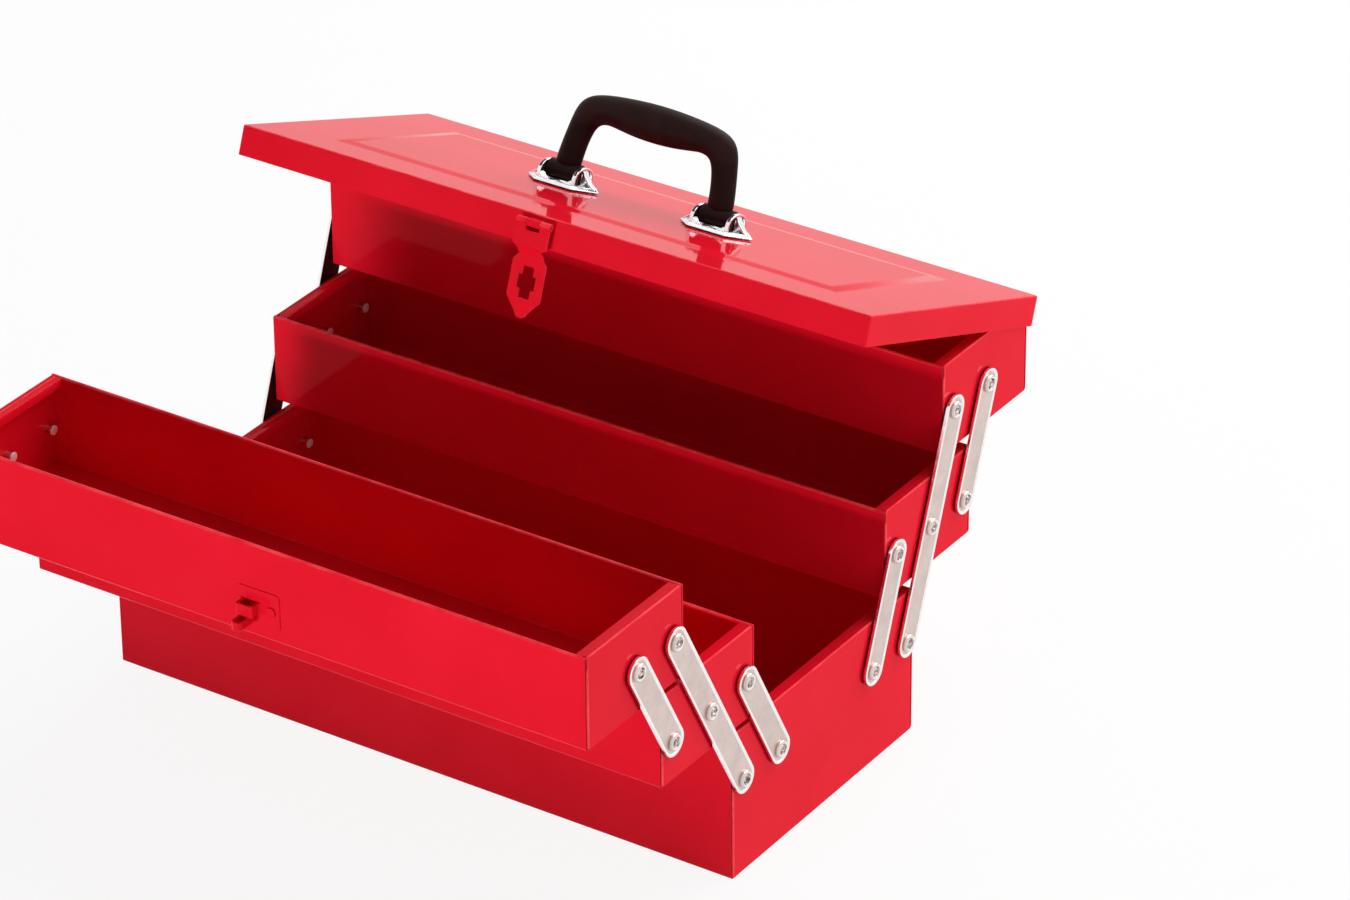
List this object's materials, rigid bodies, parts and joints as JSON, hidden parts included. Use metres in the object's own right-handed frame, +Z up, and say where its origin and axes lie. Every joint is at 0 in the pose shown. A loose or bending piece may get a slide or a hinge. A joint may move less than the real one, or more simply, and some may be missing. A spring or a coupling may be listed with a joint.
{
  "type": "cantilever tool box",
  "caption": "Steel tool box whose stacked trays swing out to both sides on pivoting links, with a hinged lid, folding handle and hasp.",
  "frame": {"origin": "middle of the flat underside of the base", "axes": "+X to the right end, +Y to the rear where the lid hinges are, +Z up"},
  "size_m": [0.4604, 0.5017, 0.3323],
  "materials": {
    "red_paint": "gloss red paint on sheet steel",
    "zinc": "bright plated steel strip",
    "chrome": "bright plated pressings",
    "handle_black": "black moulded plastic, satin"
  },
  "bodies": {
    "base": {"base_shell": "red_paint", "base_left_end": "red_paint", "base_right_end": "red_paint", "base_pivot_washers": "zinc", "base_pivot_rivets": "zinc"},
    "front_middle_tray": {"front_middle_tray": "red_paint", "front_middle_left_end": "red_paint", "front_middle_right_end": "red_paint", "front_middle_washers": "zinc", "front_middle_rivets": "zinc"},
    "front_top_tray": {"front_top_tray": "red_paint", "front_top_left_end": "red_paint", "front_top_right_end": "red_paint", "front_top_washers": "zinc", "front_top_rivets": "zinc", "hasp_staple": "red_paint", "staple_rivets": "zinc"},
    "rear_middle_tray": {"rear_middle_tray": "red_paint", "rear_middle_left_end": "red_paint", "rear_middle_right_end": "red_paint", "rear_middle_washers": "zinc", "rear_middle_rivets": "zinc"},
    "rear_top_tray": {"rear_top_tray": "red_paint", "rear_top_left_end": "red_paint", "rear_top_right_end": "red_paint", "rear_top_washers": "zinc", "rear_top_rivets": "zinc", "tray_hinge_leaves": "zinc", "lid_hinge_pins": "zinc", "tray_leaf_rivets": "zinc"},
    "lid": {"lid_shell": "red_paint", "lid_hinge_leaves": "zinc", "lid_leaf_rivets": "zinc", "left_handle_bracket": "chrome", "right_handle_bracket": "chrome", "bracket_rivets": "chrome", "handle_pins": "chrome", "hasp_hinge_plate": "red_paint", "hasp_hinge_pin": "zinc"},
    "handle": {"handle_grip": "handle_black"},
    "hasp": {"hasp_leaf": "red_paint"},
    "front_right_long_link": {"front_right_long_link": "zinc"},
    "front_right_lower_link": {"front_right_lower_link": "zinc"},
    "front_right_upper_link": {"front_right_upper_link": "zinc"},
    "front_left_long_link": {"front_left_long_link": "zinc"},
    "front_left_lower_link": {"front_left_lower_link": "zinc"},
    "front_left_upper_link": {"front_left_upper_link": "zinc"},
    "rear_right_long_link": {"rear_right_long_link": "zinc"},
    "rear_right_lower_link": {"rear_right_lower_link": "zinc"},
    "rear_right_upper_link": {"rear_right_upper_link": "zinc"},
    "rear_left_long_link": {"rear_left_long_link": "zinc"},
    "rear_left_lower_link": {"rear_left_lower_link": "zinc"},
    "rear_left_upper_link": {"rear_left_upper_link": "zinc"}
  },
  "joints": [
    {"name": "front_fold", "type": "hinge", "parent": "base", "child": "front_right_long_link", "pos_m": [0.225, -0.09, 0.0665], "axis": [1, 0, 0], "range_deg": [-60.37, 5.4]},
    {"name": "front_right_lower_pivot", "type": "hinge", "parent": "base", "child": "front_right_lower_link", "pos_m": [0.225, -0.05145, 0.0665], "axis": [1, 0, 0], "range_deg": [-60.37, 5.4]},
    {"name": "front_right_upper_pivot", "type": "hinge", "parent": "front_middle_tray", "child": "front_right_upper_link", "pos_m": [0.225, -0.16339, 0.13066], "axis": [1, 0, 0], "range_deg": [-60.37, 5.4]},
    {"name": "front_left_long_pivot", "type": "hinge", "parent": "base", "child": "front_left_long_link", "pos_m": [-0.225, -0.09, 0.0665], "axis": [1, 0, 0], "range_deg": [-60.37, 5.4]},
    {"name": "front_left_lower_pivot", "type": "hinge", "parent": "base", "child": "front_left_lower_link", "pos_m": [-0.225, -0.05145, 0.0665], "axis": [1, 0, 0], "range_deg": [-60.37, 5.4]},
    {"name": "front_left_upper_pivot", "type": "hinge", "parent": "front_middle_tray", "child": "front_left_upper_link", "pos_m": [-0.225, -0.16339, 0.13066], "axis": [1, 0, 0], "range_deg": [-60.37, 5.4]},
    {"name": "front_middle_tray_pivot", "type": "hinge", "parent": "front_right_long_link", "child": "front_middle_tray", "pos_m": [0.225, -0.12484, 0.13066], "axis": [1, 0, 0], "range_deg": [-5.4, 60.37]},
    {"name": "front_top_tray_pivot", "type": "hinge", "parent": "front_right_long_link", "child": "front_top_tray", "pos_m": [0.225, -0.15967, 0.19482], "axis": [1, 0, 0], "range_deg": [-5.4, 60.37]},
    {"name": "rear_fold", "type": "hinge", "parent": "base", "child": "rear_right_long_link", "pos_m": [0.225, 0.09, 0.0665], "axis": [-1, 0, 0], "range_deg": [-52.37, 13.4]},
    {"name": "rear_right_lower_pivot", "type": "hinge", "parent": "base", "child": "rear_right_lower_link", "pos_m": [0.225, 0.05145, 0.0665], "axis": [-1, 0, 0], "range_deg": [-52.37, 13.4]},
    {"name": "rear_right_upper_pivot", "type": "hinge", "parent": "rear_middle_tray", "child": "rear_right_upper_link", "pos_m": [0.225, 0.15412, 0.13488], "axis": [-1, 0, 0], "range_deg": [-52.37, 13.4]},
    {"name": "rear_left_long_pivot", "type": "hinge", "parent": "base", "child": "rear_left_long_link", "pos_m": [-0.225, 0.09, 0.0665], "axis": [-1, 0, 0], "range_deg": [-52.37, 13.4]},
    {"name": "rear_left_lower_pivot", "type": "hinge", "parent": "base", "child": "rear_left_lower_link", "pos_m": [-0.225, 0.05145, 0.0665], "axis": [-1, 0, 0], "range_deg": [-52.37, 13.4]},
    {"name": "rear_left_upper_pivot", "type": "hinge", "parent": "rear_middle_tray", "child": "rear_left_upper_link", "pos_m": [-0.225, 0.15412, 0.13488], "axis": [-1, 0, 0], "range_deg": [-52.37, 13.4]},
    {"name": "rear_middle_tray_pivot", "type": "hinge", "parent": "rear_right_long_link", "child": "rear_middle_tray", "pos_m": [0.225, 0.11557, 0.13488], "axis": [-1, 0, 0], "range_deg": [-13.4, 52.37]},
    {"name": "rear_top_tray_pivot", "type": "hinge", "parent": "rear_right_long_link", "child": "rear_top_tray", "pos_m": [0.225, 0.14114, 0.20327], "axis": [-1, 0, 0], "range_deg": [-13.4, 52.37]},
    {"name": "lid_hinge", "type": "hinge", "parent": "rear_top_tray", "child": "lid", "pos_m": [0, 0.23144, 0.21547], "axis": [-1, 0, 0], "range_deg": [-21, 84]},
    {"name": "handle_swing", "type": "hinge", "parent": "lid", "child": "handle", "pos_m": [0, 0.14634, 0.28177], "axis": [-1, 0, 0], "range_deg": [-85, 75]},
    {"name": "hasp_swing", "type": "hinge", "parent": "lid", "child": "hasp", "pos_m": [-0.0065, 0.04184, 0.3056], "axis": [-1, 0, 0], "range_deg": [0, 150]}
  ],
  "couplings": [
    {"joint": "front_right_lower_pivot", "follows": "front_fold", "ratio": 1},
    {"joint": "front_right_upper_pivot", "follows": "front_fold", "ratio": 1},
    {"joint": "front_left_long_pivot", "follows": "front_fold", "ratio": 1},
    {"joint": "front_left_lower_pivot", "follows": "front_fold", "ratio": 1},
    {"joint": "front_left_upper_pivot", "follows": "front_fold", "ratio": 1},
    {"joint": "front_middle_tray_pivot", "follows": "front_fold", "ratio": -1},
    {"joint": "front_top_tray_pivot", "follows": "front_fold", "ratio": -1},
    {"joint": "rear_right_lower_pivot", "follows": "rear_fold", "ratio": 1},
    {"joint": "rear_right_upper_pivot", "follows": "rear_fold", "ratio": 1},
    {"joint": "rear_left_long_pivot", "follows": "rear_fold", "ratio": 1},
    {"joint": "rear_left_lower_pivot", "follows": "rear_fold", "ratio": 1},
    {"joint": "rear_left_upper_pivot", "follows": "rear_fold", "ratio": 1},
    {"joint": "rear_middle_tray_pivot", "follows": "rear_fold", "ratio": -1},
    {"joint": "rear_top_tray_pivot", "follows": "rear_fold", "ratio": -1}
  ]
}
